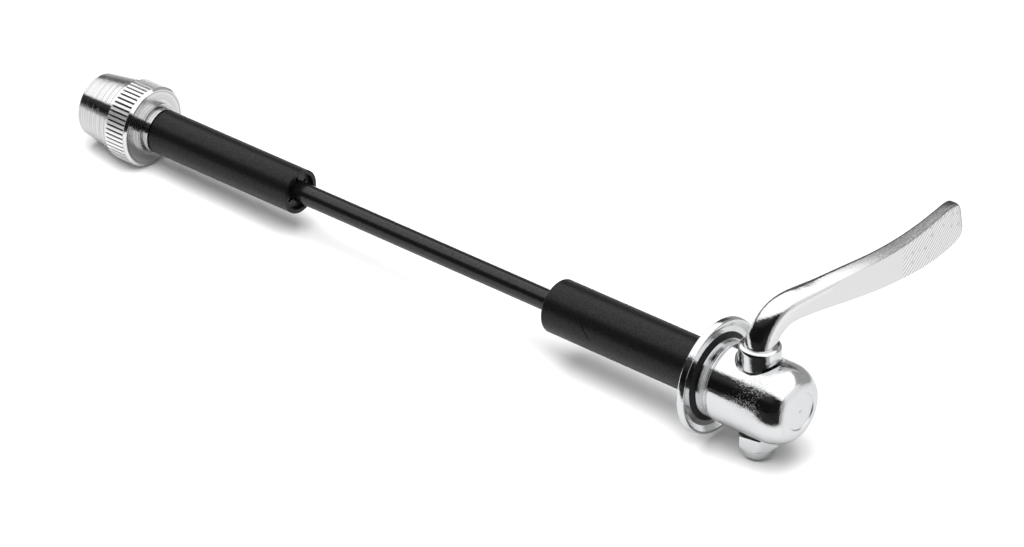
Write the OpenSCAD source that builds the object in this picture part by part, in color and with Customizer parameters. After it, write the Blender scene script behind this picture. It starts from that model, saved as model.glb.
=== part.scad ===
// A quick-release thru axle adapter: two sleeves on one rod, a knurled cone nut and a cam head.
// +X runs along the axle towards the lever, +Z up along the cam shaft, +Y away from the viewer.
// The origin is on the axle's axis at the clamping face of the flange.
// Millimetres.

/* [Axle] */
// clamping face of the flange to the clamping face of the nut
axle_span = 159.4; // [140:0.1:180]
// diameter of the rod that joins the two ends
rod_d = 4.7; // [4.2:0.1:5.2]
// how far the rod's end stops short of the nut's small end
rod_short = 4.1; // [1:0.1:6]

/* [Lever side sleeve] */
// outside diameter, for a plain 12 mm dropout hole
lever_sleeve_d = 12; // [11:0.1:13]
// length inboard of the flange
lever_sleeve_len = 42; // [35:0.5:50]
// rounding of the inboard end
lever_sleeve_round = 0.45; // [0.2:0.05:0.8]
// diameter of the spigot pressed into the flange
spigot_d = 9; // [8:0.1:9.6]

/* [Nut side sleeve] */
// outside diameter, to pass through an M12 threaded dropout
nut_sleeve_d = 10.1; // [9.6:0.1:11]
// length of the sleeve
nut_sleeve_len = 41; // [35:0.5:50]
// thickness of the wall at the open mouth
mouth_wall = 0.9; // [0.6:0.05:1.1]
// depth of the mouth in front of the retaining washer
mouth_depth = 1; // [0.6:0.1:3]
// height of the shoulder that the retaining washer sits on
mouth_shoulder = 0.4; // [0.25:0.05:0.6]
// gap between the sleeve and the collar of the nut
sleeve_float = 0.3; // [0.1:0.05:0.5]

/* [Retaining washer] */
// thickness of the toothed washer
star_t = 0.5; // [0.4:0.05:0.8]
// number of teeth
star_teeth = 6; // [4:1:8]
// width of the slots between the teeth
star_slot = 0.7; // [0.4:0.05:0.9]

/* [Cone nut] */
// diameter over the crests of the knurl
nut_d = 18.8; // [17.5:0.1:20.5]
// length of the cone from its small end to the knurl
cone_len = 10.8; // [8:0.1:13]
// diameter of the cone's small end
cone_tip_d = 14.7; // [13:0.1:16.5]
// rounding of the small end
cone_round = 0.7; // [0.4:0.05:1.4]
// length of the knurled band
knurl_len = 5.4; // [4:0.1:7]
// depth of the knurl's grooves
knurl_depth = 0.42; // [0.25:0.01:0.6]
// how far the plain surfaces beside the band lie below its own edges
knurl_step = 0.08; // [0.04:0.01:0.15]
// number of grooves round the band
knurl_count = 54; // [48:1:84]
// chamfer between the knurl and the flat face
nut_chamfer = 0.6; // [0.3:0.05:0.9]
// diameter of the large step on the face
step_d = 11.8; // [11.2:0.1:13]
// length of the large step
step_len = 1.3; // [0.8:0.1:2]
// diameter of the small step next to the sleeve
collar_step_d = 10.5; // [10:0.1:11]
// length of the small step
collar_step_len = 1; // [0.6:0.1:1.6]
// width of the groove between the steps
step_groove = 0.6; // [0.3:0.05:1]
// depth of that groove below the small step
step_groove_depth = 0.5; // [0.2:0.05:0.8]
// length of the pilot inside the sleeve
pilot_len = 3.5; // [2:0.1:6]

/* [Flange] */
// diameter of the flange
flange_d = 25.7; // [24:0.1:28]
// thickness of the flange at its rim
flange_t = 1.6; // [1.4:0.1:2.2]
// thickness of the flange under the dish
flange_web = 0.9; // [0.6:0.05:1.2]
// width of the rim outside the dish
flange_rim = 0.8; // [0.7:0.05:1.2]
// radius of the rim's inboard edge
flange_round = 0.35; // [0.2:0.05:0.5]
// length along the axis of the rim's rounding on the dished side
flange_roll = 1.1; // [0.7:0.05:1.15]
// depth of the sleeve's seat in the clamping face
flange_seat = 0.1; // [0.05:0.01:0.15]

/* [Glide washer] */
// diameter of the black washer between the flange and the cam housing
glide_d = 20.4; // [19:0.1:21]
// thickness of that washer
glide_t = 0.5; // [0.4:0.05:0.8]
// diameter of its bore
glide_bore = 5.6; // [5.4:0.1:7]

/* [Cam housing] */
// diameter of the housing
housing_d = 17.6; // [16.8:0.1:18.6]
// length of the housing outboard of its seat
housing_len = 20.9; // [20.6:0.1:24]
// length along the axis of the domed corner
dome_len = 5.9; // [4.5:0.1:6.5]
// how far the domed corner runs in from the side
dome_in = 4.3; // [3:0.1:4.6]
// depth of the shallow recess in the end face
recess_depth = 0.22; // [0.1:0.02:0.4]
// depth of the centre dimple
dimple_depth = 0.3; // [0.15:0.05:0.5]
// diameter of the centre dimple
dimple_d = 0.9; // [0.5:0.1:1.4]
// drop of the neck below the housing's diameter
neck_drop = 0.25; // [0.1:0.05:0.5]
// length of the neck next to the flange
neck_len = 2.9; // [2:0.1:3.4]
// width of the turned groove behind the neck
neck_groove = 0.35; // [0.2:0.05:0.6]
// diameter of the chamber for the rod's eye
chamber_d = 12.7; // [12.6:0.1:13.2]

/* [Cam shaft] */
// position of the cam shaft outboard of the flange's clamping face
cam_x = 11.5; // [11:0.1:11.8]
// throw of the eccentric
cam_throw = 1; // [0.7:0.05:1.1]
// diameter of the eccentric
cam_d = 7; // [6.6:0.1:7.2]
// diameter of the collar that turns in the housing
collar_d = 9.1; // [9:0.1:9.6]
// height of the collar's top above the axle's axis
collar_top = 12.1; // [11.6:0.1:13]
// chamfer of the collar's top
collar_chamfer = 0.9; // [0.4:0.05:1.1]
// gap round the collar in its counterbore
collar_gap = 0.55; // [0.3:0.05:0.8]
// depth of the counterbore below the housing's top
counterbore = 1.5; // [1:0.1:2]
// angle of the lever from its closed stop in the modelled pose
lever_from_closed = 22; // [10:1:40]

/* [Rod eye] */
// half height of the eye
eye_half = 2; // [1.7:0.1:2.1]
// wall of the eye in line with the rod
eye_wall = 1.3; // [1.1:0.1:1.5]
// wall of the eye at its sides
eye_side = 1.1; // [0.9:0.05:1.2]
// play between the eccentric and the eye in line with the rod
eye_play = 0.3; // [0.28:0.01:0.4]

/* [Lever] */
// diameter of the round neck
neck_d = 6.6; // [6:0.1:7.6]
// height of the arm above the collar
neck_rise = 7.2; // [6:0.1:9]
// reach of the lever from the cam shaft, measured along the arm in plan
lever_reach = 52.3; // [45:0.5:62]
// further rise of the arm from the bend to the tip
arm_rise = 4.9; // [2:0.1:7]
// width of the paddle near its tip
paddle_w = 10; // [8.5:0.1:12]
// thickness of the paddle near its tip
paddle_t = 3.2; // [2.8:0.1:4.2]
// direction of the arm in plan, from +Y towards +X
lever_aim = 20; // [10:1:30]
// how far the arm curls back towards +Y
lever_curl = 20; // [0:1:30]

/* [Fasteners] */
// diameter of the thread at the foot of the cam shaft
thread_d = 5; // [4.5:0.1:5]
// thickness of the washer
washer_t = 0.6; // [0.4:0.05:1]
// diameter of the washer
washer_d = 7.6; // [7:0.1:8.4]
// depth of the spot face below the housing
spot_depth = 0.5; // [0.3:0.05:0.8]
// width across the flats of the acorn nut
acorn_af = 8; // [7.6:0.1:8.6]
// height of the acorn nut's hexagon
acorn_hex = 3.2; // [2.6:0.1:4]
// height of the acorn nut's dome
acorn_dome = 2.9; // [2.3:0.1:3.8]
// wall above the thread inside the dome
acorn_roof = 1.2; // [0.8:0.1:1.6]

/* [Clearances] */
// radial clearance of the running fits
fit = 0.05; // [0.02:0.01:0.09]
// radial clearance of the rod in the lever side sleeve
rod_clear = 0.2; // [0.1:0.05:0.4]
// axial clearance between moving faces
face_gap = 0.05; // [0.02:0.01:0.1]

/* [Hidden] */
$fn = 96;
// one overrun for every cut
over = 1;
full = 360;
half_share = 0.5;
tiny = 0.02;

// axial stations, all from the flange's clamping face
nut_face = -axle_span;
knurl_in = nut_face - nut_chamfer;
knurl_out = knurl_in - knurl_len;
cone_out = knurl_out - cone_len;
step_end = nut_face + step_len + step_groove + collar_step_len;
sleeve_out = step_end + sleeve_float;
sleeve_in = sleeve_out + nut_sleeve_len;
glide_x = flange_web + face_gap;
seat_x = glide_x + glide_t;
housing_out = seat_x + housing_len;

nut_r = nut_d / 2;
knurl_root = nut_r - knurl_depth;
thread_bore_r = rod_d / 2 + fit;
mouth_r = nut_sleeve_d / 2 - mouth_wall;
sleeve_bore_r = mouth_r - mouth_shoulder;
pilot_r = sleeve_bore_r - fit;

housing_r = housing_d / 2;
chamber_r = chamber_d / 2;
collar_r = collar_d / 2;
cam_r = cam_d / 2;
shaft_r = thread_d / 2;
closed_turn = -lever_from_closed;
ecc_x = cam_throw * cos(closed_turn);
ecc_y = cam_throw * sin(closed_turn);
eye_x = cam_x + ecc_x;
eye_in_r = cam_r + eye_play;
eye_slot = cam_throw + fit + fit - eye_play;
eye_out_r = eye_in_r + eye_wall;
eye_out_y = eye_slot + eye_in_r + eye_side - eye_out_r;
chamber_out = eye_x + eye_out_r + eye_play + eye_play;

cam_top = max(eye_half, rod_d / 2) + eye_play;
floor_z = -(chamber_r + eye_play);
spot_z = -(housing_r - spot_depth);
washer_top = spot_z - face_gap;
acorn_top = washer_top - washer_t;
hex_bottom = acorn_top - acorn_hex;
dome_bottom = hex_bottom - acorn_dome;
thread_bottom = dome_bottom + acorn_roof + face_gap;
counter_z = housing_r - counterbore;

// a quarter of a rounded corner, as points for a profile
function arc_pts(cx, cy, rx, ry, a0, a1, n) =
    [for (i = [0:n]) [cx + rx * cos(a0 + (a1 - a0) * i / n), cy + ry * sin(a0 + (a1 - a0) * i / n)]];

// turns a profile of [x, radius] points about the axle's axis
module turn_x(pts) {
    rotate([0, 90, 0]) rotate_extrude() polygon([for (p = pts) [p[1], p[0]]]);
}

module rod_along(x0, x1, r) {
    translate([x0, 0, 0]) rotate([0, 90, 0]) cylinder(h = x1 - x0, r = r);
}

module up_from(x, y, z0, z1, r) {
    translate([x, y, z0]) cylinder(h = z1 - z0, r = r);
}

// Knurled cone nut: turned in one piece, threaded through, with two steps and a pilot for the sleeve.
knurl_share = [0, 0.18, 0.68, 0.86];
crest_share = [0, 1, 1, 0];
knurl_pts = [for (i = [0:knurl_count - 1], k = [0:3])
    let (a = full * (i + knurl_share[k]) / knurl_count, r = knurl_root + knurl_depth * crest_share[k])
    [r * cos(a), r * sin(a)]];

module cone_nut() {
    color("#c8cacd") difference() {
        union() {
            turn_x(concat(
                [[cone_out, 0]],
                arc_pts(cone_out + cone_round, cone_tip_d / 2 - cone_round, cone_round, cone_round, 180, 100, 6),
                [[knurl_out + knurl_step, knurl_root - knurl_step], [knurl_out + knurl_step, 0]]));
            translate([knurl_out, 0, 0]) rotate([0, 90, 0]) linear_extrude(height = knurl_len)
                polygon(knurl_pts);
            turn_x([[knurl_in - knurl_step, 0], [knurl_in - knurl_step, nut_r - knurl_step],
                [knurl_in, nut_r - knurl_step], [nut_face, nut_r - nut_chamfer], [nut_face, 0]]);
            rod_along(knurl_in, nut_face + step_len, step_d / 2);
            rod_along(knurl_in, step_end, collar_step_d / 2 - step_groove_depth);
            rod_along(step_end - collar_step_len, step_end, collar_step_d / 2);
            rod_along(knurl_in, step_end + pilot_len, pilot_r);
        }
        rod_along(cone_out - over, step_end + pilot_len + over, thread_bore_r);
    }
}

// Nut side sleeve: a black tube with an open mouth and a shoulder for the retaining washer.
module nut_side_sleeve() {
    color("#1b1b1c") difference() {
        rod_along(sleeve_out, sleeve_in, nut_sleeve_d / 2);
        rod_along(sleeve_out - over, sleeve_in + over, sleeve_bore_r);
        rod_along(sleeve_in - mouth_depth - star_t, sleeve_in + over, mouth_r);
    }
}

// Retaining washer: spring steel, pressed into the mouth, its teeth round the rod.
module retaining_washer() {
    color("#b4b6b8") difference() {
        rod_along(sleeve_in - mouth_depth - star_t, sleeve_in - mouth_depth, mouth_r);
        rod_along(sleeve_in - mouth_depth - star_t - over, sleeve_in - mouth_depth + over, thread_bore_r);
        for (i = [0:star_teeth - 1])
            rotate([full * i / star_teeth, 0, 0])
                translate([sleeve_in - mouth_depth - star_t - over, -star_slot / 2, 0])
                    cube([star_t + over + over, star_slot, (mouth_r + thread_bore_r) / 2]);
    }
}

// Skewer rod: forged in one piece with the eye that the eccentric turns in.
module skewer_rod() {
    color("#232325") difference() {
        union() {
            rod_along(cone_out + rod_short, eye_x - eye_in_r, rod_d / 2);
            translate([eye_x, 0, -eye_half]) linear_extrude(height = eye_half + eye_half) {
                translate([0, eye_out_y]) circle(r = eye_out_r);
                translate([0, -eye_out_y]) circle(r = eye_out_r);
                translate([-eye_out_r, -eye_out_y]) square([eye_out_r + eye_out_r, eye_out_y + eye_out_y]);
            }
        }
        translate([eye_x, 0, -eye_half - over]) linear_extrude(height = eye_half + eye_half + over + over) {
            translate([0, eye_slot]) circle(r = eye_in_r);
            translate([0, -eye_slot]) circle(r = eye_in_r);
            translate([-eye_in_r, -eye_slot]) square([eye_in_r + eye_in_r, eye_slot + eye_slot]);
        }
    }
}

// Lever side sleeve: black, bored for the rod, with a short spigot pressed into the flange.
module lever_side_sleeve() {
    r = lever_sleeve_d / 2;
    color("#1b1b1c") difference() {
        union() {
            turn_x(concat(
                [[-lever_sleeve_len, 0]],
                arc_pts(-lever_sleeve_len + lever_sleeve_round, r - lever_sleeve_round, lever_sleeve_round,
                        lever_sleeve_round, 180, 90, 5),
                [[flange_seat, r], [flange_seat, 0]]));
            rod_along(0, flange_web, spigot_d / 2);
        }
        rod_along(-lever_sleeve_len - over, flange_web + over, rod_d / 2 + rod_clear);
    }
}

// Flange: a dished disc with a rounded rim, its hollow side facing the housing.
dish_slope_share = 1.6;
module flange_washer() {
    r = flange_d / 2;
    q = flange_round;
    dish_r = r - flange_rim;
    color("#cfd1d3") turn_x(concat(
        [[flange_seat, spigot_d / 2], [flange_seat, lever_sleeve_d / 2], [0, lever_sleeve_d / 2]],
        arc_pts(q, r - q, q, q, 180, 90, 6),
        arc_pts(flange_t - flange_roll, dish_r + q, flange_roll, r - dish_r - q, 90, 0, 8),
        [[flange_t, dish_r], [flange_web, dish_r - (flange_t - flange_web) * dish_slope_share],
         [flange_web, spigot_d / 2]]));
}

// Glide washer: black plastic, loose between the flange and the housing.
module glide_washer() {
    color("#141414") difference() {
        rod_along(glide_x, seat_x, glide_d / 2);
        rod_along(glide_x - over, seat_x + over, glide_bore / 2);
    }
}

// Cam housing: turned and domed, bored along the axle for the rod's eye and across it for the cam shaft.
recess_share = 0.93;
module cam_housing() {
    r = housing_r;
    flat_r = r - dome_in;
    recess_r = flat_r * recess_share;
    color("#cfd1d3") difference() {
        turn_x(concat(
            [[seat_x, chamber_r - neck_drop], [seat_x, r - neck_drop - neck_drop],
             [seat_x + neck_drop, r - neck_drop],
             [seat_x + neck_len, r - neck_drop], [seat_x + neck_len, r - neck_drop - neck_drop],
             [seat_x + neck_len + neck_groove, r - neck_drop - neck_drop],
             [seat_x + neck_len + neck_groove, r]],
            arc_pts(housing_out - dome_len, flat_r, dome_len, dome_in, 90, 0, 16),
            [[housing_out, recess_r], [housing_out - recess_depth, recess_r - recess_depth],
             [housing_out - recess_depth, dimple_d / 2], [housing_out - recess_depth - dimple_depth, 0],
             [chamber_out + over, 0], [chamber_out + over, chamber_r - neck_drop]]));
        rod_along(seat_x - over, chamber_out, chamber_r);
        rod_along(chamber_out - over, chamber_out + over + tiny, chamber_r - neck_drop - tiny);
        up_from(cam_x, 0, floor_z, housing_r + over, collar_r + fit);
        up_from(cam_x, 0, counter_z, housing_r + over, collar_r + collar_gap);
        up_from(cam_x, 0, -housing_r - over, over - over, shaft_r + fit);
        up_from(cam_x, 0, -housing_r - over, spot_z, washer_d / 2 + fit + fit);
    }
}

// Lever: forged in one piece with its collar, eccentric and threaded foot.
// The arm is a loft: each row holds shares of reach, of the neck's rise and of the arm's rise, then how far
// thickness and width have gone from the neck to the paddle, and how square the two sides are.
lever_shares = [
    [0, -0.1, 0, 0, 0, 0, 0, 1],
    [0.004, 0.1, 0, 0, 0, 0, 0, 1],
    [0.016, 0.28, 0, 0.02, -0.04, 0.05, 0, 1],
    [0.032, 0.48, 0, 0.05, -0.08, 0.1, 0, 1],
    [0.056, 0.68, 0, 0.08, -0.1, 0.16, 0.02, 1],
    [0.09, 0.86, 0, 0.12, -0.13, 0.22, 0.05, 1],
    [0.135, 0.97, 0, 0.18, -0.14, 0.3, 0.1, 1],
    [0.19, 1, 0.02, 0.28, -0.14, 0.42, 0.18, 1],
    [0.26, 1, 0.08, 0.42, -0.12, 0.6, 0.28, 1],
    [0.34, 1, 0.15, 0.5, 0.03, 0.85, 0.36, 1],
    [0.43, 1, 0.23, 0.58, 0.19, 1, 0.44, 1],
    [0.53, 1, 0.33, 0.67, 0.36, 1, 0.5, 1],
    [0.65, 1, 0.48, 0.78, 0.6, 1, 0.55, 1],
    [0.78, 1, 0.63, 0.92, 0.93, 1, 0.6, 1],
    [0.88, 1, 0.77, 1, 1.06, 1, 0.6, 1],
    [0.94, 1, 0.86, 1, 1.03, 1, 0.6, 0.99],
    [0.975, 1, 0.91, 1, 1, 1, 0.6, 0.9],
    [0.993, 1, 0.945, 1, 1, 1, 0.6, 0.66],
    [1, 1, 0.96, 1, 1, 1, 0.6, 0.34]];
curl_start_share = 0.42;
curl_end_share = 0.95;
loft_n = 54;
ring_n = 28;
round_power = 2;
square_power = 5.5;

function spline(v, t) =
    let (n = len(v) - 1, i = min(floor(t), n - 1), f = t - i,
         p0 = v[max(i - 1, 0)], p1 = v[i], p2 = v[i + 1], p3 = v[min(i + 2, n)])
    p1 + f * half_share * ((p2 - p0) + f * ((2 * p0 - 5 * p1 + 4 * p2 - p3) + f * (3 * p1 - p0 - 3 * p2 + p3)));
function column(k) = [for (row = lever_shares) row[k]];
lever_cols = [for (k = [0:7]) column(k)];
function at(k, i) = spline(lever_cols[k], i * (len(lever_shares) - 1) / loft_n);
function aim(share) =
    let (u = min(max((share - curl_start_share) / (curl_end_share - curl_start_share), 0), 1))
    lever_aim - lever_curl * u * u * (3 - 2 * u);
function plan_at(i) = i <= 0 ? [0, 0] :
    plan_at(i - 1) + lever_reach * (at(0, i) - at(0, i - 1)) * [sin(aim(at(0, i))), cos(aim(at(0, i)))];
lever_plan = [for (i = [0:loft_n]) plan_at(i)];
lever_line = [for (i = [0:loft_n])
    [cam_x + lever_plan[i][0], lever_plan[i][1], collar_top + neck_rise * at(1, i) + arm_rise * at(2, i)]];
function unit(v) = v / norm(v);
function power_of(c, e) = sign(c) * pow(abs(c), round_power / e);
function ring_at(i) =
    let (p = lever_line[i], q = lever_line[min(i + 1, loft_n)], o = lever_line[max(i - 1, 0)],
         t = unit(q - o), g = aim(at(0, i)), n = [cos(g), -sin(g), 0], m = unit(cross(n, t)),
         s = at(7, i),
         a = half_share * (neck_d + (paddle_t - neck_d) * at(3, i)) * (half_share + half_share * s),
         b = half_share * (neck_d + (paddle_w - neck_d) * at(4, i)) * s,
         e1 = round_power + (square_power - round_power) * at(5, i),
         e2 = round_power + (square_power - round_power) * at(6, i))
    [for (k = [0:ring_n - 1])
        let (w = full * (k + half_share) / ring_n, c = cos(w), d = sin(w), e = c > 0 ? e1 : e2)
        p + a * power_of(c, e) * n + b * power_of(d, e) * m];
lever_rings = [for (i = [0:loft_n]) ring_at(i)];
lever_pts = [for (ring = lever_rings, p = ring) p];
lever_faces = concat(
    [[for (k = [ring_n - 1:-1:0]) k]],
    [for (i = [0:loft_n - 1], k = [0:ring_n - 1])
        let (k2 = (k + 1) % ring_n, a = i * ring_n)
        [a + k, a + k2, a + ring_n + k2, a + ring_n + k]],
    [[for (k = [0:ring_n - 1]) loft_n * ring_n + k]]);

module cam_lever() {
    color("#cfd1d3") union() {
        polyhedron(points = lever_pts, faces = lever_faces, convexity = 4);
        up_from(cam_x, 0, cam_top, collar_top - collar_chamfer, collar_r);
        translate([cam_x, 0, collar_top - collar_chamfer])
            cylinder(h = collar_chamfer, r1 = collar_r, r2 = collar_r - collar_chamfer);
        up_from(cam_x + ecc_x, ecc_y, floor_z + face_gap, cam_top + face_gap, cam_r);
        up_from(cam_x, 0, thread_bottom, cam_top, shaft_r);
    }
}

// Washer between the acorn nut and the housing's spot face.
module lock_washer() {
    color("#b9bbbe") difference() {
        up_from(cam_x, 0, acorn_top, washer_top, washer_d / 2);
        up_from(cam_x, 0, acorn_top - over, washer_top + over, shaft_r + fit);
    }
}

// Acorn nut on the threaded foot of the cam shaft.
hex_share = 0.97;
hex_turn = -10;
dome_top_share = 0.3;
module acorn_nut() {
    hex_r = acorn_af / (2 * cos(full / 12));
    dome_r = acorn_af * half_share * hex_share;
    color("#cfd1d3") difference() {
        union() {
            intersection() {
                translate([cam_x, 0, hex_bottom]) rotate([0, 0, lever_aim + hex_turn])
                    cylinder(h = acorn_hex, r = hex_r, $fn = 6);
                translate([cam_x, 0, hex_bottom])
                    cylinder(h = acorn_hex, r1 = dome_r, r2 = dome_r + acorn_hex);
            }
            translate([cam_x, 0, 0]) rotate_extrude() polygon(concat(
                [[0, hex_bottom + tiny]],
                [[dome_r, hex_bottom + tiny]],
                [for (p = arc_pts(dome_r * dome_top_share, hex_bottom, dome_r * (1 - dome_top_share), acorn_dome,
                                  0, -90, 12)) p],
                [[0, dome_bottom]]));
        }
        up_from(cam_x, 0, thread_bottom - face_gap, acorn_top + over, shaft_r + fit);
    }
}
cone_nut();
nut_side_sleeve();
retaining_washer();
skewer_rod();
lever_side_sleeve();
flange_washer();
glide_washer();
cam_housing();
cam_lever();
lock_washer();
acorn_nut();
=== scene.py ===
"""Looks of the thru axle adapter: chromed cam head and lever, turned nut, black sleeves, on a white table."""

import math

import bmesh
import bpy
from mathutils import Matrix, Vector


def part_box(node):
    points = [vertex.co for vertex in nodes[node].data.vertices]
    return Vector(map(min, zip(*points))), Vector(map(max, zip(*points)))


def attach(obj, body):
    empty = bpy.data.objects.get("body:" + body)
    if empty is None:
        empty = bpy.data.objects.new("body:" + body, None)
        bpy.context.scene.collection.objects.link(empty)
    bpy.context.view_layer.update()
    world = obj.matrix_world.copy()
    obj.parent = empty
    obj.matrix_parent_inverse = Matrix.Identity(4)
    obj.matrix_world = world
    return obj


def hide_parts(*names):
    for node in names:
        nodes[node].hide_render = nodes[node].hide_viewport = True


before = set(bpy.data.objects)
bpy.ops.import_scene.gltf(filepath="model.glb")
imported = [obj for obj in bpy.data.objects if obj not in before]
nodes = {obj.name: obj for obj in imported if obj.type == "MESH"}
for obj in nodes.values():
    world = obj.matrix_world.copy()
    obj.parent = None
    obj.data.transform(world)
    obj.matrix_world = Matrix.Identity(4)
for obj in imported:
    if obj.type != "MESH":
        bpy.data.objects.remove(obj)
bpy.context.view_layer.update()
MM = 0.001

# Sizes shared with the CAD source, in millimetres and degrees.
CAM_X = 11.5
COLLAR_TOP = 12.1
COLLAR_FOOT = 2.65
COLLAR_R = 4.55
COLLAR_CHAMFER = 0.9
NECK_D = 6.6
NECK_RISE = 7.2
REACH = 52.3
ARM_RISE = 4.9
PADDLE_W = 10.0
PADDLE_T = 3.2
AIM = 20.0
CURL = 20.0
SQUARE_POWER = 5.5
CURL_START = 0.42
CURL_END = 0.95
KNURL_X = -162.4

# The lever's stations: share of the reach, of the neck's rise and of the arm's rise, share of the way from
# the neck's thickness and width to the paddle's, squareness outboard and inboard, and size at the two ends.
LEVER_ROWS = [
    [0, -0.1, 0, 0, 0, 0, 0, 1],
    [0.004, 0.1, 0, 0, 0, 0, 0, 1],
    [0.016, 0.28, 0, 0.02, -0.04, 0.05, 0, 1],
    [0.032, 0.48, 0, 0.05, -0.08, 0.1, 0, 1],
    [0.056, 0.68, 0, 0.08, -0.1, 0.16, 0.02, 1],
    [0.09, 0.86, 0, 0.12, -0.13, 0.22, 0.05, 1],
    [0.135, 0.97, 0, 0.18, -0.14, 0.3, 0.1, 1],
    [0.19, 1, 0.02, 0.28, -0.14, 0.42, 0.18, 1],
    [0.26, 1, 0.08, 0.42, -0.12, 0.6, 0.28, 1],
    [0.34, 1, 0.15, 0.5, 0.03, 0.85, 0.36, 1],
    [0.43, 1, 0.23, 0.58, 0.19, 1, 0.44, 1],
    [0.53, 1, 0.33, 0.67, 0.36, 1, 0.5, 1],
    [0.65, 1, 0.48, 0.78, 0.6, 1, 0.55, 1],
    [0.78, 1, 0.63, 0.92, 0.93, 1, 0.6, 1],
    [0.88, 1, 0.77, 1, 1.06, 1, 0.6, 1],
    [0.94, 1, 0.86, 1, 1.03, 1, 0.6, 0.99],
    [0.975, 1, 0.91, 1, 1, 1, 0.6, 0.9],
    [0.993, 1, 0.945, 1, 1, 1, 0.6, 0.66],
    [1, 1, 0.96, 1, 1, 1, 0.6, 0.34],
]
COLUMNS = [[row[k] for row in LEVER_ROWS] for k in range(8)]
STATIONS = 270
ROUND = 96

# The outboard side is cut flat by this share of its thickness, from one share of the reach to the next.
FLAT_CUT = 0.09
FLAT_FROM = 0.27
FLAT_OVER = 0.12

# The black washer: bore, lip and neck radius, and its places along the axle, in millimetres.
RING_BORE_R = 2.8
RING_R = 9.75
RING_NECK_R = 8.9
RING_FROM = 0.95
RING_LIP = 1.15
RING_TO = 1.45

# The studio, in metres.
LAMP_HIGH = 0.2
TABLE_HALF = 1.5

# A smooth step from 0 at From Min to 1 at From Max.
SMOOTH = {"interpolation_type": "SMOOTHSTEP"}


def lin(hex_colour):
    """Linear RGBA of an sRGB hex colour."""
    out = []
    for i in (0, 2, 4):
        c = int(hex_colour[i : i + 2], 16) / 255
        out.append(c / 12.92 if c <= 0.04045 else ((c + 0.055) / 1.055) ** 2.4)
    return (*out, 1.0)


def add(tree, kind, values=None, **settings):
    """Adds a shader node with its settings. A node or socket given as a value is linked, others are set."""
    node = tree.nodes.new(kind)
    for key, value in settings.items():
        setattr(node, key, value)
    for key, value in (values or {}).items():
        if isinstance(value, bpy.types.Node):
            value = value.outputs[0]
        if isinstance(value, bpy.types.NodeSocket):
            tree.links.new(value, node.inputs[key])
        else:
            node.inputs[key].default_value = value
    return node


def new_material(name):
    material = bpy.data.materials.new(name)
    material.use_nodes = True
    return material, material.node_tree, material.node_tree.nodes["Principled BSDF"]


def paint(material, *names):
    """Puts a material on CAD nodes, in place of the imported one."""
    for name in names:
        mesh = nodes[name].data
        mesh.materials.clear()
        mesh.materials.append(material)


# Metals and plastics of the part. Noise scales are features a millimetre, over MM.


def chrome(name, colour, rough, grain):
    """Polished plate on steel. The mirror is broken a little by a grain of 0.4 mm that polishing left."""
    material, tree, shader = new_material(name)
    shader.inputs["Base Color"].default_value = lin(colour)
    shader.inputs["Metallic"].default_value = 1.0
    shader.inputs["Roughness"].default_value = rough
    where = add(tree, "ShaderNodeTexCoord").outputs["Object"]
    fine = add(tree, "ShaderNodeTexNoise", {"Vector": where, "Scale": 2.6 / MM, "Detail": 3.0})
    bump = add(tree, "ShaderNodeBump", {"Height": fine, "Strength": grain, "Distance": 0.03 * MM})
    tree.links.new(bump.outputs[0], shader.inputs["Normal"])
    return material, tree, shader, bump, where


def turned_plate():
    """Plated steel as the lathe left it: fine rings round the axle streak the cone, steps and face."""
    material, tree, shader, bump, where = chrome("turned_plated_steel", "D0D0D1", 0.1, 0.3)
    part = add(tree, "ShaderNodeSeparateXYZ", {"Vector": where})
    x = part.outputs["X"]
    across = add(tree, "ShaderNodeCombineXYZ", {"Y": part.outputs["Y"], "Z": part.outputs["Z"]})
    radius = add(tree, "ShaderNodeVectorMath", {0: across}, operation="LENGTH").outputs["Value"]
    # The sum of both makes rings on the flat faces and on the turned sides alike.
    along = add(tree, "ShaderNodeMath", {0: x, 1: radius}, operation="ADD")
    # Lathe rings are typically about 0.1 mm apart. They are drawn 0.4 mm apart, so that they show.
    rings = add(
        tree,
        "ShaderNodeTexNoise",
        {"W": along, "Scale": 2.6 / MM, "Detail": 3.0, "Roughness": 0.65},
        noise_dimensions="1D",
    )
    ringed = add(
        tree,
        "ShaderNodeBump",
        {"Height": rings, "Strength": 0.8, "Distance": 0.06 * MM, "Normal": bump},
    )
    tree.links.new(ringed.outputs[0], shader.inputs["Normal"])
    # The knurled band's grooves are painted dark, a painted shade, and its crests pale, a painted highlight.
    groove = add(
        tree,
        "ShaderNodeMapRange",
        {"Value": radius, "From Min": 9.34 * MM, "From Max": 9.08 * MM},
        **SMOOTH,
    )
    start = add(
        tree,
        "ShaderNodeMapRange",
        {"Value": x, "From Min": -165.5 * MM, "From Max": -165.3 * MM},
        **SMOOTH,
    )
    end = add(
        tree,
        "ShaderNodeMapRange",
        {"Value": x, "From Min": -159.9 * MM, "From Max": -160.1 * MM},
        **SMOOTH,
    )
    band = add(tree, "ShaderNodeMath", {0: start, 1: end}, operation="MULTIPLY")
    knurl_painted_light = add(tree, "ShaderNodeMix", {0: groove, 2: 0.92, 3: 0.05})
    # The base colour is darker along part of the turned rings, drawn as darker streaks.
    streak_mask = add(tree, "ShaderNodeMapRange", {"Value": rings, "From Min": 0.4, "From Max": 0.58}, **SMOOTH)
    streaks = add(tree, "ShaderNodeMix", {0: streak_mask, 2: 0.4, 3: 0.72})
    shade = add(tree, "ShaderNodeMix", {0: band, 2: streaks, 3: knurl_painted_light})
    rough = add(tree, "ShaderNodeMix", {0: band, 2: 0.1, 3: 0.42})
    tree.links.new(shade.outputs[0], shader.inputs["Base Color"])
    tree.links.new(rough.outputs[0], shader.inputs["Roughness"])
    return material


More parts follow.
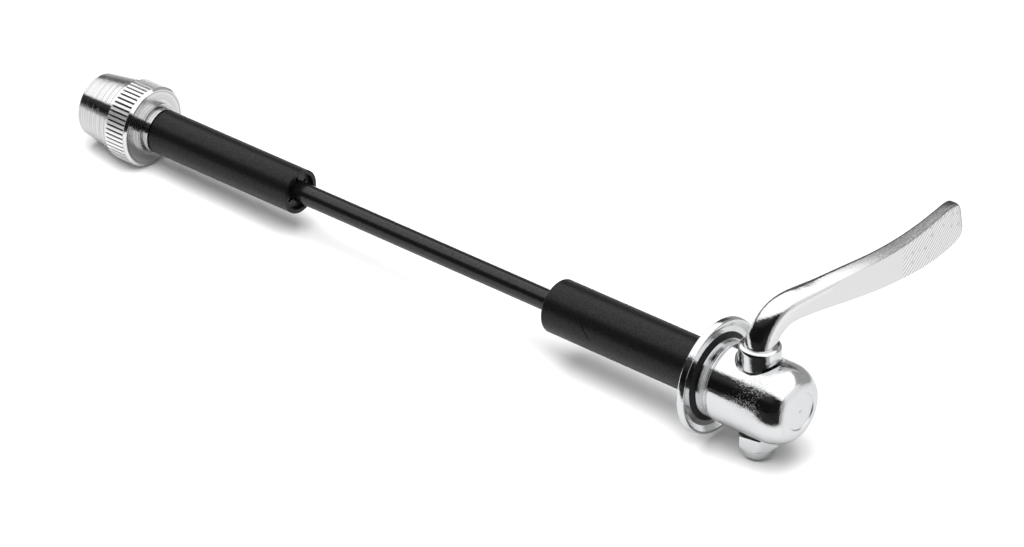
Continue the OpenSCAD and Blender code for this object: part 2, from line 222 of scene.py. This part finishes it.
def housing_plate():
    """Polished plate with pits of 0.3 mm towards the dome, turned lines on the neck and a satin end face."""
    material, tree, shader, bump, where = chrome("chrome_plate_housing", "D2D3D4", 0.07, 0.3)
    x = add(tree, "ShaderNodeSeparateXYZ", {"Vector": where}).outputs["X"]
    spots = add(tree, "ShaderNodeTexNoise", {"Vector": where, "Scale": 3.0 / MM, "Detail": 2.0})
    spots = add(tree, "ShaderNodeMapRange", {"Value": spots, "From Min": 0.5, "From Max": 0.7}, **SMOOTH)
    # The pits grow stronger from the neck to the dome, and end before its rounding.
    more = add(
        tree,
        "ShaderNodeMapRange",
        {"Value": x, "From Min": 7.0 * MM, "From Max": 15.5 * MM},
        **SMOOTH,
    )
    less = add(
        tree,
        "ShaderNodeMapRange",
        {"Value": x, "From Min": 19.5 * MM, "From Max": 17.0 * MM},
        **SMOOTH,
    )
    grown = add(tree, "ShaderNodeMath", {0: more, 1: less}, operation="MULTIPLY")
    strength = add(tree, "ShaderNodeMix", {0: grown, 2: 0.2, 3: 1.0})
    pits = add(tree, "ShaderNodeMath", {0: spots, 1: strength}, operation="MULTIPLY")
    lines = add(tree, "ShaderNodeTexNoise", {"W": x, "Scale": 3.6 / MM, "Detail": 2.0}, noise_dimensions="1D")
    neck = add(tree, "ShaderNodeMapRange", {"Value": x, "From Min": 5.0 * MM, "From Max": 4.6 * MM}, **SMOOTH)
    height = add(tree, "ShaderNodeMix", {0: neck, 2: pits, 3: lines})
    worked = add(
        tree,
        "ShaderNodeBump",
        {"Height": height, "Strength": 0.7, "Distance": 0.03 * MM, "Normal": bump},
    )
    tree.links.new(worked.outputs[0], shader.inputs["Normal"])
    face = add(
        tree,
        "ShaderNodeMapRange",
        {"Value": x, "From Min": 21.5 * MM, "From Max": 22.1 * MM},
        **SMOOTH,
    )
    rough = add(tree, "ShaderNodeMix", {0: face, 2: 0.07, 3: 0.3})
    tree.links.new(rough.outputs[0], shader.inputs["Roughness"])
    return material


def lever_plate():
    """Plate on a forging: a mirror, but for the pad's slanted lines and a rougher upper face painted grey."""
    material, tree, shader, bump, where = chrome("chrome_plate_lined_pad", "D2D3D4", 0.09, 0.8)
    part = add(tree, "ShaderNodeSeparateXYZ", {"Vector": where})
    y, z = part.outputs["Y"], part.outputs["Z"]
    # Lines 0.75 mm apart, slanted across the pad.
    y_share = add(tree, "ShaderNodeMath", {0: y, 1: 0.72}, operation="MULTIPLY")
    z_share = add(tree, "ShaderNodeMath", {0: z, 1: 0.69}, operation="MULTIPLY")
    across = add(tree, "ShaderNodeMath", {0: y_share, 1: z_share}, operation="SUBTRACT")
    turn = add(tree, "ShaderNodeMath", {0: across, 1: 2 * math.pi / (0.75 * MM)}, operation="MULTIPLY")
    wave = add(tree, "ShaderNodeMath", {0: turn}, operation="SINE")
    wave = add(tree, "ShaderNodeMapRange", {"Value": wave, "From Min": -0.8, "From Max": 0.8}, **SMOOTH)
    # The pad is the outboard face from 31 mm out. The normal is the piece's own, so it swings with the lever.
    facing = add(tree, "ShaderNodeSeparateXYZ", {"Vector": add(tree, "ShaderNodeTexCoord").outputs["Normal"]})
    out = {"Value": facing.outputs["X"], "From Min": 0.9, "From Max": 0.96}
    outboard = add(tree, "ShaderNodeMapRange", out, **SMOOTH)
    far = add(
        tree,
        "ShaderNodeMapRange",
        {"Value": y, "From Min": 30.5 * MM, "From Max": 31.5 * MM},
        **SMOOTH,
    )
    pad = add(tree, "ShaderNodeMath", {0: far, 1: outboard}, operation="MULTIPLY")
    height = add(tree, "ShaderNodeMath", {0: wave, 1: pad}, operation="MULTIPLY")
    lined = add(
        tree,
        "ShaderNodeBump",
        {"Height": height, "Strength": 0.3, "Distance": 0.08 * MM, "Normal": bump},
    )
    tree.links.new(lined.outputs[0], shader.inputs["Normal"])
    # The lines are uneven, as the photograph shows them, and partly gone.
    patch = add(tree, "ShaderNodeTexNoise", {"Vector": where, "Scale": 0.9 / MM, "Detail": 2.0})
    patch = add(tree, "ShaderNodeMapRange", {"Value": patch, "From Min": 0.25, "From Max": 0.42}, **SMOOTH)
    worn = add(tree, "ShaderNodeMath", {0: wave, 1: patch}, operation="MULTIPLY")
    worn = add(tree, "ShaderNodeMix", {0: worn, 2: 0.45, 3: 0.8})
    plate = add(tree, "ShaderNodeMix", {0: pad, 2: 0.64, 3: worn})
    # The arm's upward-facing band is painted grey and mottled, a painted dim reflection; it is also rougher.
    up = {"Value": facing.outputs["Z"], "From Min": 0.36, "From Max": 0.5}
    upward = add(tree, "ShaderNodeMapRange", up, **SMOOTH)
    arm = add(tree, "ShaderNodeMapRange", {"Value": y, "From Min": 16 * MM, "From Max": 30 * MM}, **SMOOTH)
    upper = add(tree, "ShaderNodeMath", {0: upward, 1: arm}, operation="MULTIPLY")
    top_mottle = add(tree, "ShaderNodeTexNoise", {"Vector": where, "Scale": 2.4 / MM, "Detail": 2.0})
    top_mottle = add(tree, "ShaderNodeMapRange", {"Value": top_mottle, "From Min": 0.4, "From Max": 0.65}, **SMOOTH)
    painted_grey_top = add(tree, "ShaderNodeMix", {0: top_mottle, 2: 0.2, 3: 0.3})
    shade = add(tree, "ShaderNodeMix", {0: upper, 2: plate, 3: painted_grey_top})
    rough = add(tree, "ShaderNodeMix", {0: upper, 2: 0.09, 3: 0.3})
    tree.links.new(shade.outputs[0], shader.inputs["Base Color"])
    tree.links.new(rough.outputs[0], shader.inputs["Roughness"])
    return material


def black_finish(name, colour, rough, marks, sheen):
    """A black surface with faint rings along the axle, and a sheen mottled at about half a millimetre."""
    material, tree, shader = new_material(name)
    shader.inputs["Base Color"].default_value = lin(colour)
    shader.inputs["Roughness"].default_value = rough
    where = add(tree, "ShaderNodeTexCoord").outputs["Object"]
    part = add(tree, "ShaderNodeSeparateXYZ", {"Vector": where})
    rings = add(
        tree,
        "ShaderNodeTexNoise",
        {"W": part.outputs["X"], "Scale": 1.8 / MM, "Detail": 2.0},
        noise_dimensions="1D",
    )
    rings = add(tree, "ShaderNodeMath", {0: rings, 1: marks}, operation="MULTIPLY")
    grain = add(tree, "ShaderNodeTexNoise", {"Vector": where, "Scale": 2.6 / MM, "Detail": 1.0})
    height = add(tree, "ShaderNodeMath", {0: rings, 1: grain}, operation="ADD")
    bump = add(tree, "ShaderNodeBump", {"Height": height, "Strength": 0.7, "Distance": 0.02 * MM})
    tree.links.new(bump.outputs[0], shader.inputs["Normal"])
    patch = add(tree, "ShaderNodeTexNoise", {"Vector": where, "Scale": 2.2 / MM, "Detail": 3.0})
    patch = add(tree, "ShaderNodeMapRange", {"Value": patch, "From Min": 0.3, "From Max": 0.7}, **SMOOTH)
    mottled = add(tree, "ShaderNodeMix", {0: patch, 2: sheen * 0.75, 3: sheen * 1.25})
    tree.links.new(mottled.outputs[0], shader.inputs["Specular IOR Level"])
    return material, tree, shader, part, mottled


def sleeve_coat():
    """Black coated tube, taken as anodised: a soft satin sheen, and one dark scratch on the thicker tube."""
    material, tree, shader, part, mottled = black_finish("black_coated_sleeve", "0A0A0B", 0.34, 0.8, 0.22)
    x, y, z = part.outputs["X"], part.outputs["Y"], part.outputs["Z"]
    # The scratch passes 30.3 mm from the flange at a height of 1.3 mm, and leans back as it rises.
    height = add(tree, "ShaderNodeMath", {0: z, 1: 1.3 * MM}, operation="SUBTRACT")
    lean = add(tree, "ShaderNodeMath", {0: height, 1: 0.9}, operation="MULTIPLY")
    place = add(tree, "ShaderNodeMath", {0: x, 1: 30.3 * MM}, operation="ADD")
    place = add(tree, "ShaderNodeMath", {0: place, 1: lean}, operation="ADD")
    off = add(tree, "ShaderNodeMath", {0: place}, operation="ABSOLUTE")
    thin = add(
        tree,
        "ShaderNodeMapRange",
        {"Value": off, "From Min": 0.3 * MM, "From Max": 0.1 * MM},
        **SMOOTH,
    )
    front = add(
        tree,
        "ShaderNodeMapRange",
        {"Value": y, "From Min": -5.1 * MM, "From Max": -5.4 * MM},
        **SMOOTH,
    )
    foot = add(
        tree,
        "ShaderNodeMapRange",
        {"Value": z, "From Min": -0.6 * MM, "From Max": -0.2 * MM},
        **SMOOTH,
    )
    side = add(tree, "ShaderNodeMath", {0: thin, 1: front}, operation="MULTIPLY")
    scratch = add(tree, "ShaderNodeMath", {0: side, 1: foot}, operation="MULTIPLY")
    scratched = add(tree, "ShaderNodeMix", {0: scratch, 2: mottled, 3: 0.02})
    tree.links.new(scratched.outputs[0], shader.inputs["Specular IOR Level"])
    return material


# Polished plate: flange, acorn nut and the lever's collar mirror the lamp and the dark room sharply.
CHROME, *_ = chrome("chrome_plate", "D2D3D4", 0.07, 0.8)
# Black rod, taken as blackened steel: smoother than the sleeves, so its glint is sharper.
ROD, *_ = black_finish("black_coated_rod", "0C0C0D", 0.22, 0.2, 0.4)
# The black washer, taken as moulded plastic: matt, with no turning marks.
RING, *_ = black_finish("black_plastic_ring", "0C0C0C", 0.55, 0.0, 0.3)
# Hardened and oiled spring steel: stamped, dark grey, with a dull shine.
DARK_SPRING, *_ = chrome("oiled_spring_steel", "3A3A3B", 0.35, 0.3)
LEVER = lever_plate()

paint(CHROME, "flange_washer", "acorn_nut")
paint(housing_plate(), "cam_housing")
paint(turned_plate(), "cone_nut")
paint(sleeve_coat(), "nut_side_sleeve", "lever_side_sleeve")
paint(ROD, "skewer_rod")
paint(DARK_SPRING, "retaining_washer", "lock_washer")


def spline(values, t):
    """Catmull-Rom through the values, as in the CAD source."""
    n = len(values) - 1
    i = min(int(t), n - 1)
    f = t - i
    p0, p1, p2, p3 = values[max(i - 1, 0)], values[i], values[i + 1], values[min(i + 2, n)]
    square = 2 * p0 - 5 * p1 + 4 * p2 - p3
    cube = 3 * p1 - p0 - 3 * p2 + p3
    return p1 + f * 0.5 * ((p2 - p0) + f * (square + f * cube))


def smooth(x):
    x = min(max(x, 0.0), 1.0)
    return x * x * (3 - 2 * x)


def aim_at(share):
    """The lever's direction at a share of its reach: outwards at first, then straight."""
    return math.radians(AIM - CURL * smooth((share - CURL_START) / (CURL_END - CURL_START)))


def power_of(c, e):
    return math.copysign(abs(c) ** (2 / e), c)


def lever_line(rows):
    """The lever's middle line, from the collar up the neck and out along the arm."""
    out, along = 0.0, 0.0
    line = []
    for i, row in enumerate(rows):
        if i:
            aim = aim_at(row[0])
            step = REACH * (row[0] - rows[i - 1][0])
            out += step * math.sin(aim)
            along += step * math.cos(aim)
        high = COLLAR_TOP + NECK_RISE * row[1] + ARM_RISE * row[2]
        line.append(Vector((CAM_X + out, along, high)))
    return line


def lever_rings():
    """Sections of the lever, round at the neck and squared at the paddle."""
    last = len(LEVER_ROWS) - 1
    rows = [[spline(c, i * last / STATIONS) for c in COLUMNS] for i in range(STATIONS + 1)]
    line = lever_line(rows)
    rings = []
    for i, row in enumerate(rows):
        ahead = (line[min(i + 1, STATIONS)] - line[max(i - 1, 0)]).normalized()
        aim = aim_at(row[0])
        outward = Vector((math.cos(aim), -math.sin(aim), 0))
        across = outward.cross(ahead).normalized()
        half_t = 0.5 * (NECK_D + (PADDLE_T - NECK_D) * row[3]) * (0.5 + 0.5 * row[7])
        half_w = 0.5 * (NECK_D + (PADDLE_W - NECK_D) * row[4]) * row[7]
        outboard = 2 + (SQUARE_POWER - 2) * row[5]
        inboard = 2 + (SQUARE_POWER - 2) * row[6]
        flat = half_t * (1 - FLAT_CUT * smooth((row[0] - FLAT_FROM) / FLAT_OVER))
        ring = []
        for k in range(ROUND):
            w = 2 * math.pi * (k + 0.5) / ROUND
            c, d = math.cos(w), math.sin(w)
            power = outboard if c > 0 else inboard
            out = min(half_t * power_of(c, power), flat)
            ring.append(line[i] + out * outward + half_w * power_of(d, power) * across)
        rings.append(ring)
    return rings


def finish_mesh(bm, name, material):
    """Turns the faces outwards and makes the object, with its place in its mesh."""
    bmesh.ops.recalc_face_normals(bm, faces=bm.faces)
    mesh = bpy.data.meshes.new(name)
    bm.to_mesh(mesh)
    bm.free()
    mesh.materials.append(material)
    ob = bpy.data.objects.new(name, mesh)
    bpy.context.scene.collection.objects.link(ob)
    return ob


def round_off(ob, degrees):
    """Smooth shading, with edges above the angle left sharp."""
    ob.data.shade_smooth()
    ob.data.set_sharp_from_angle(angle=math.radians(degrees))


def loft(rings):
    """A skin drawn through rings of points, by extruding the first ring's edges again and again."""
    bm = bmesh.new()
    row = bmesh.ops.create_circle(bm, segments=ROUND, radius=MM)["verts"]
    for v, p in zip(row, rings[0]):
        v.co = p * MM
    edges = list(bm.edges)
    for ring in rings[1:]:
        geom = bmesh.ops.extrude_edge_only(bm, edges=edges)["geom"]
        fresh = {g for g in geom if isinstance(g, bmesh.types.BMVert)}
        row = [next(e.other_vert(v) for e in v.link_edges if e.other_vert(v) in fresh) for v in row]
        for v, p in zip(row, ring):
            v.co = p * MM
        edges = [g for g in geom if isinstance(g, bmesh.types.BMEdge) and fresh.issuperset(g.verts)]
    bmesh.ops.holes_fill(bm, edges=[e for e in bm.edges if e.is_boundary], sides=0)
    return bm


def turned(points, centre, axis, closed):
    """A profile spun once round an axis. Its points are (out, along) pairs in millimetres."""
    bm = bmesh.new()
    out = Vector((1, 0, 0)) if axis.z else Vector((0, 1, 0))
    row = [bm.verts.new((centre + out * r + axis * along) * MM) for r, along in points]
    edges = [bm.edges.new(pair) for pair in zip(row, row[1:])]
    if closed:
        edges.append(bm.edges.new((row[-1], row[0])))
    bmesh.ops.spin(
        bm,
        geom=row + edges,
        cent=centre * MM,
        axis=axis,
        angle=2 * math.pi,
        steps=128,
        use_merge=True,
    )
    if not closed:
        bmesh.ops.holes_fill(bm, edges=[e for e in bm.edges if e.is_boundary], sides=0)
    return bm


def build_lever():
    """The arm and the collar of the one forging, finer than the CAD source's."""
    arm = finish_mesh(loft(lever_rings()), "lever_arm", LEVER)
    round_off(arm, 50)
    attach(arm, "lever")
    c = COLLAR_CHAMFER
    profile = [(COLLAR_R, COLLAR_FOOT)]
    for i in range(9):
        w = math.radians(90 * i / 8)
        profile.append((COLLAR_R - c * (1 - math.cos(w)), COLLAR_TOP - c + c * math.sin(w)))
    bm = turned(profile, Vector((CAM_X, 0, 0)), Vector((0, 0, 1)), False)
    collar = finish_mesh(bm, "lever_collar", CHROME)
    round_off(collar, 40)
    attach(collar, "lever")
    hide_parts("cam_lever")


def build_ring():
    """The black washer round the head's neck. Its lip is tapered, where the CAD source has a plain ring."""
    profile = [
        (RING_BORE_R, RING_FROM),
        (RING_R, RING_FROM),
        (RING_R, RING_LIP),
        (RING_NECK_R, RING_TO),
        (RING_BORE_R, RING_TO),
    ]
    bm = turned(profile, Vector((0, 0, 0)), Vector((1, 0, 0)), True)
    ring = finish_mesh(bm, "glide_ring", RING)
    round_off(ring, 30)
    # The polished neck beside it would show it twice.
    ring.visible_glossy = False
    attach(ring, "head")
    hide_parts("glide_washer")


build_lever()
build_ring()

for name in nodes:
    round_off(nodes[name], 28)


def set_camera():
    """The photograph's place and angle, worked out from the ends, rims and axis of the axle."""
    right = Vector((0.76199, 0.64755, -0.00676)).normalized()
    ahead = Vector((-0.5548, 0.6474, -0.52256)).normalized()
    above = right.cross(ahead).normalized()
    turn = Matrix((right, above, -ahead)).transposed()
    data = bpy.data.cameras.new("camera")
    data.sensor_width = 36.0
    data.lens = 181.73
    data.clip_start = 0.05
    data.clip_end = 20.0
    cam = bpy.data.objects.new("camera", data)
    cam.matrix_world = Matrix.Translation((0.55082, -0.70662, 0.57317)) @ turn.to_4x4()
    bpy.context.scene.collection.objects.link(cam)
    bpy.context.scene.camera = cam


def right_side(tree, slope):
    """Light of the room by the slope y / x: dark towards the camera, grey, then light beyond the lever."""
    grey = add(tree, "ShaderNodeMapRange", {"Value": slope, "From Min": -0.46, "From Max": -0.35}, **SMOOTH)
    light = add(tree, "ShaderNodeMapRange", {"Value": slope, "From Min": -0.17, "From Max": 0.04}, **SMOOTH)
    level = add(tree, "ShaderNodeMix", {0: grey, 2: 0.012, 3: 0.47})
    return add(tree, "ShaderNodeMix", {0: light, 2: level, 3: 1.15})


def table_material():
    """Matt white paper, painted for reflections only: pale near the part, dark to the camera, grey behind."""
    material, tree, shader = new_material("white_paper")
    shader.inputs["Roughness"].default_value = 0.9
    shader.inputs["Specular IOR Level"].default_value = 0.1
    where = add(tree, "ShaderNodeTexCoord").outputs["Object"]
    part = add(tree, "ShaderNodeSeparateXYZ", {"Vector": where})
    x, y = part.outputs["X"], part.outputs["Y"]
    x_share = add(tree, "ShaderNodeMath", {0: x, 1: 0.646}, operation="MULTIPLY")
    y_share = add(tree, "ShaderNodeMath", {0: y, 1: 0.763}, operation="MULTIPLY")
    nearer = add(tree, "ShaderNodeMath", {0: x_share, 1: y_share}, operation="SUBTRACT")
    past = add(tree, "ShaderNodeMath", {0: x, 1: 0.012}, operation="SUBTRACT")
    past = add(tree, "ShaderNodeMath", {0: past, 1: 0.03}, operation="MAXIMUM")
    slope = add(tree, "ShaderNodeMath", {0: y, 1: past}, operation="DIVIDE")
    room = add(tree, "ShaderNodeMath", {0: right_side(tree, slope), 1: 0.6}, operation="MULTIPLY")
    right = add(tree, "ShaderNodeMapRange", {"Value": x, "From Min": 0.04, "From Max": 0.06}, **SMOOTH)
    front = add(tree, "ShaderNodeMix", {0: right, 2: 0.012, 3: room})
    near = add(tree, "ShaderNodeMapRange", {"Value": nearer, "From Min": 0.032, "From Max": 0.044}, **SMOOTH)
    shade = add(tree, "ShaderNodeMix", {0: near, 2: 0.62, 3: front})
    beside = add(tree, "ShaderNodeMath", {0: x, 1: 0.0}, operation="MAXIMUM")
    behind = add(tree, "ShaderNodeMath", {0: y, 1: beside}, operation="SUBTRACT")
    far = add(tree, "ShaderNodeMapRange", {"Value": behind, "From Min": 0.05, "From Max": 0.11}, **SMOOTH)
    shade = add(tree, "ShaderNodeMix", {0: far, 2: shade, 3: 0.3})
    # Reflections see this painted room colour; the camera sees the plain white paper.
    glossy = add(tree, "ShaderNodeLightPath").outputs["Is Glossy Ray"]
    reflection_painted_paper = add(tree, "ShaderNodeMix", {0: glossy, 2: 0.888, 3: shade})
    tree.links.new(reflection_painted_paper.outputs[0], shader.inputs["Base Color"])
    return material


def set_table():
    """The paper touches the knurled nut and the acorn nut, as the real one does."""
    low_nut, high_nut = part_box("cone_nut")
    low_foot, high_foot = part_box("acorn_nut")
    x1, z1 = KNURL_X * MM, low_nut[2]
    x2, z2 = (low_foot[0] + high_foot[0]) / 2, low_foot[2]
    slope = (z2 - z1) / (x2 - x1)
    bm = bmesh.new()
    bmesh.ops.create_grid(bm, x_segments=1, y_segments=1, size=TABLE_HALF)
    for v in bm.verts:
        v.co.z = z1 + (v.co.x - x1) * slope
    finish_mesh(bm, "table", table_material())


def set_world():
    """White for the camera. The chrome sees a grey back, a dark room in front and light on the right."""
    world = bpy.data.worlds.new("studio")
    bpy.context.scene.world = world
    world.use_nodes = True
    tree = world.node_tree
    tree.nodes.clear()
    where = add(tree, "ShaderNodeTexCoord").outputs["Generated"]
    part = add(tree, "ShaderNodeSeparateXYZ", {"Vector": where})
    x, y, z = part.outputs["X"], part.outputs["Y"], part.outputs["Z"]
    up = add(tree, "ShaderNodeMath", {0: z, 1: 0.001}, operation="MAXIMUM")
    lean = add(tree, "ShaderNodeMath", {0: y, 1: up}, operation="DIVIDE")
    # The grey back darkens next to the lamp towards the nut's end.
    close = add(tree, "ShaderNodeMapRange", {"Value": lean, "From Min": 4.5, "From Max": 1.8}, **SMOOTH)
    left = add(tree, "ShaderNodeMapRange", {"Value": x, "From Min": 0.1, "From Max": -0.3}, **SMOOTH)
    near_lamp = add(tree, "ShaderNodeMath", {0: close, 1: left}, operation="MULTIPLY")
    back = add(tree, "ShaderNodeMix", {0: near_lamp, 2: 0.45, 3: 0.08})
    side = add(tree, "ShaderNodeMapRange", {"Value": x, "From Min": 0.62, "From Max": 0.78}, **SMOOTH)
    low = add(tree, "ShaderNodeMapRange", {"Value": z, "From Min": 0.75, "From Max": 0.6}, **SMOOTH)
    right = add(tree, "ShaderNodeMath", {0: side, 1: low}, operation="MULTIPLY")
    back = add(tree, "ShaderNodeMix", {0: right, 2: back, 3: 1.15})
    ahead = add(tree, "ShaderNodeMath", {0: x, 1: 0.05}, operation="MAXIMUM")
    slope = add(tree, "ShaderNodeMath", {0: y, 1: ahead}, operation="DIVIDE")
    high = add(tree, "ShaderNodeMapRange", {"Value": lean, "From Min": -2.5, "From Max": -1.1}, **SMOOTH)
    dark = add(tree, "ShaderNodeMix", {0: high, 2: 0.008, 3: 0.05})
    to_right = add(tree, "ShaderNodeMapRange", {"Value": x, "From Min": 0.3, "From Max": 0.6}, **SMOOTH)
    front = add(tree, "ShaderNodeMix", {0: to_right, 2: dark, 3: right_side(tree, slope)})
    rear = add(tree, "ShaderNodeMapRange", {"Value": y, "From Min": -0.01, "From Max": 0.03}, **SMOOTH)
    level = add(tree, "ShaderNodeMix", {0: rear, 2: front, 3: back})
    path = add(tree, "ShaderNodeLightPath")
    level = add(tree, "ShaderNodeMix", {0: path.outputs["Is Glossy Ray"], 2: 0.35, 3: level})
    level = add(tree, "ShaderNodeMix", {0: path.outputs["Is Camera Ray"], 2: level, 3: 1.0})
    glow = add(tree, "ShaderNodeBackground", {"Color": (1, 1, 1, 1), "Strength": level})
    add(tree, "ShaderNodeOutputWorld", {"Surface": glow})


def set_lamp():
    """The broad white lamp as the chrome sees it: a sheet of light over the axle with soft edges."""
    material = bpy.data.materials.new("lamp_cloth")
    material.use_nodes = True
    tree = material.node_tree
    tree.nodes.clear()
    where = add(tree, "ShaderNodeTexCoord").outputs["Object"]
    part = add(tree, "ShaderNodeSeparateXYZ", {"Vector": where})
    x, y = part.outputs["X"], part.outputs["Y"]
    h = LAMP_HIGH
    front = add(
        tree,
        "ShaderNodeMapRange",
        {"Value": y, "From Min": -0.96 * h, "From Max": -0.74 * h},
        **SMOOTH,
    )
    right = add(tree, "ShaderNodeMapRange", {"Value": x, "From Min": 1.4 * h, "From Max": 3.2 * h}, **SMOOTH)
    level = add(tree, "ShaderNodeMix", {0: front, 2: 0.08, 3: 1.6})
    level = add(tree, "ShaderNodeMix", {0: right, 2: level, 3: 1.0})
    glow = add(tree, "ShaderNodeEmission", {"Color": (1, 1, 1, 1), "Strength": level})
    add(tree, "ShaderNodeOutputMaterial", {"Surface": glow})
    bm = bmesh.new()
    bmesh.ops.create_grid(bm, x_segments=1, y_segments=1, size=h)
    bmesh.ops.scale(bm, verts=bm.verts, vec=(4.1, 0.96, 1.0))
    bmesh.ops.translate(bm, verts=bm.verts, vec=(-0.9 * h, 0.0, h))
    ob = finish_mesh(bm, "lamp", material)
    ob.visible_camera = False
    ob.visible_diffuse = False
    ob.visible_transmission = False
    ob.visible_shadow = False


def set_overhead():
    """The soft light that draws the shadows. The chrome doesn't see it."""
    spot = Vector((0.06, -0.18, 0.75))
    target = Vector((-0.07, 0.0, 0.0))
    data = bpy.data.lights.new("overhead", "AREA")
    data.shape = "SQUARE"
    data.size = 0.85
    data.energy = 14.0
    ob = bpy.data.objects.new("overhead", data)
    ob.location = spot
    ob.rotation_euler = (target - spot).to_track_quat("-Z", "Y").to_euler()
    ob.visible_glossy = False
    bpy.context.scene.collection.objects.link(ob)


set_camera()
set_table()
set_world()
set_lamp()
set_overhead()
bpy.context.scene.view_settings.view_transform = "Standard"
